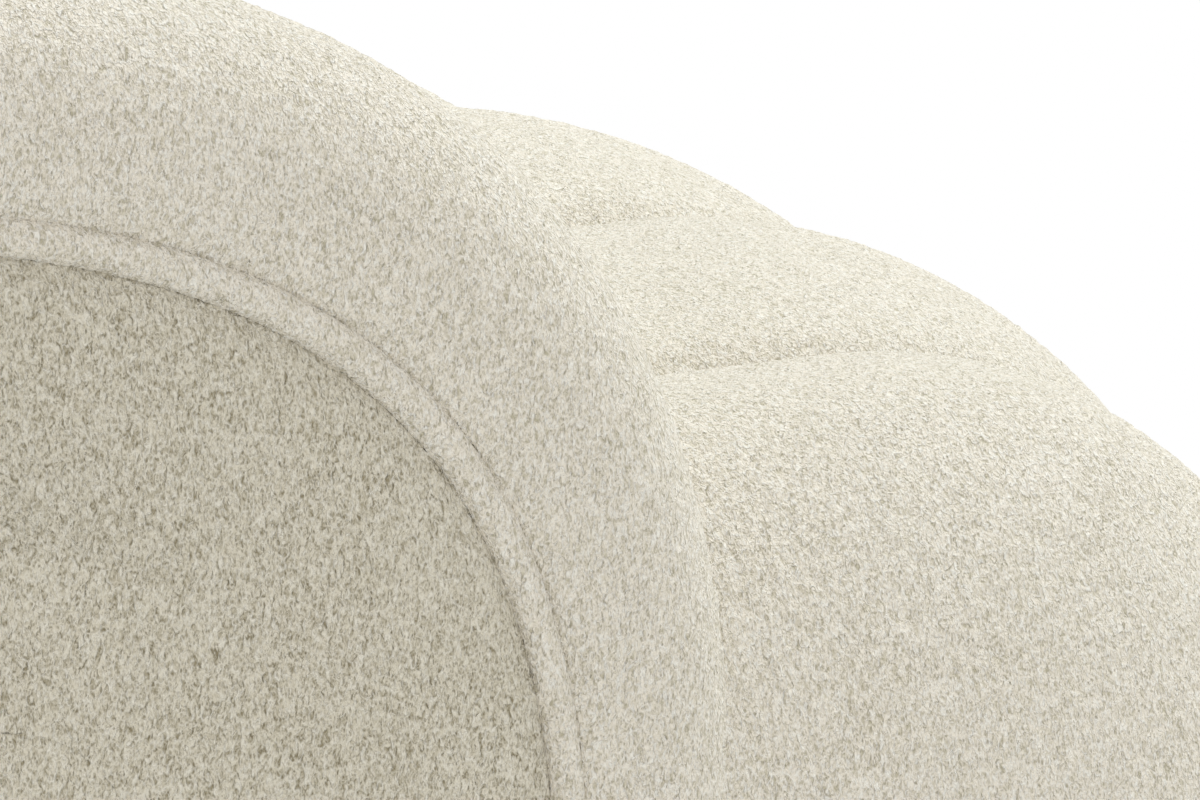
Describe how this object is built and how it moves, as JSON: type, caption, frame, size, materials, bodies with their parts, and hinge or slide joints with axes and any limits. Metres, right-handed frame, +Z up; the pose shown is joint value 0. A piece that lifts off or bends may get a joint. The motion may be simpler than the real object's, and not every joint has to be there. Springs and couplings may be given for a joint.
{
  "type": "sofa",
  "caption": "Low tuxedo sofa with a channelled seat whose round nose wraps ahead of square boxed arms with an inset welted panel, loose back cushions and short turned feet",
  "frame": {"origin": "centre of the base, on the floor under the middle of the overall box", "axes": "+X runs along the sofa to its right end as its sitter's left, -Y is the front, +Z is up"},
  "size_m": [2.052, 0.974, 0.7793],
  "materials": {
    "teddy_fabric": "looped cream pile, matt",
    "teddy_panel": "looped cream pile, matt",
    "welt_fabric": "looped cream pile, matt",
    "rail_timber": "planed softwood, bare",
    "plywood": "birch plywood, bare",
    "steel": "zinc plated",
    "brass": "plain",
    "felt": "needled felt",
    "dust_cloth": "black non-woven cloth",
    "foot_wood": "dark stained, satin lacquer"
  },
  "bodies": {
    "root": {"seat_channel_1": "teddy_fabric", "seat_channel_2": "teddy_fabric", "seat_channel_3": "teddy_fabric", "seat_channel_4": "teddy_fabric", "seat_channel_5": "teddy_fabric", "seat_channel_6": "teddy_fabric", "seat_channel_7": "teddy_fabric", "seat_channel_8": "teddy_fabric", "seat_end_left": "teddy_fabric", "seat_end_right": "teddy_fabric", "nose_block_left": "rail_timber", "nose_block_right": "rail_timber", "arm_board_left": "plywood", "arm_board_right": "plywood", "arm_battens_left": "rail_timber", "arm_battens_right": "rail_timber", "arm_pad_left": "teddy_fabric", "arm_pad_right": "teddy_fabric", "arm_outer_panel_left": "teddy_panel", "arm_outer_panel_right": "teddy_panel", "arm_inner_panel_left": "teddy_panel", "arm_inner_panel_right": "teddy_panel", "arm_outer_welt_left": "welt_fabric", "arm_outer_welt_right": "welt_fabric", "arm_inner_welt_left": "welt_fabric", "arm_inner_welt_right": "welt_fabric", "back_board": "plywood", "back_battens": "rail_timber", "back_pad": "teddy_fabric", "back_outer_panel": "teddy_panel", "back_welt": "welt_fabric", "back_cushion_1": "teddy_fabric", "back_cushion_2": "teddy_fabric", "back_cushion_3": "teddy_fabric", "back_cushion_4": "teddy_fabric", "front_rail": "rail_timber", "back_rail": "rail_timber", "side_rail_left": "rail_timber", "side_rail_right": "rail_timber", "cross_rails": "rail_timber", "corner_blocks": "rail_timber", "seat_springs": "steel", "spring_clips": "steel", "deck_felt": "felt", "dust_cover": "dust_cloth", "foot_front_left": "foot_wood", "foot_front_right": "foot_wood", "foot_back_left": "foot_wood", "foot_back_right": "foot_wood", "foot_middle_front": "foot_wood", "foot_middle_back": "foot_wood", "foot_bolts": "steel", "foot_inserts": "brass", "frame_bolts": "steel"}
  },
  "joints": []
}
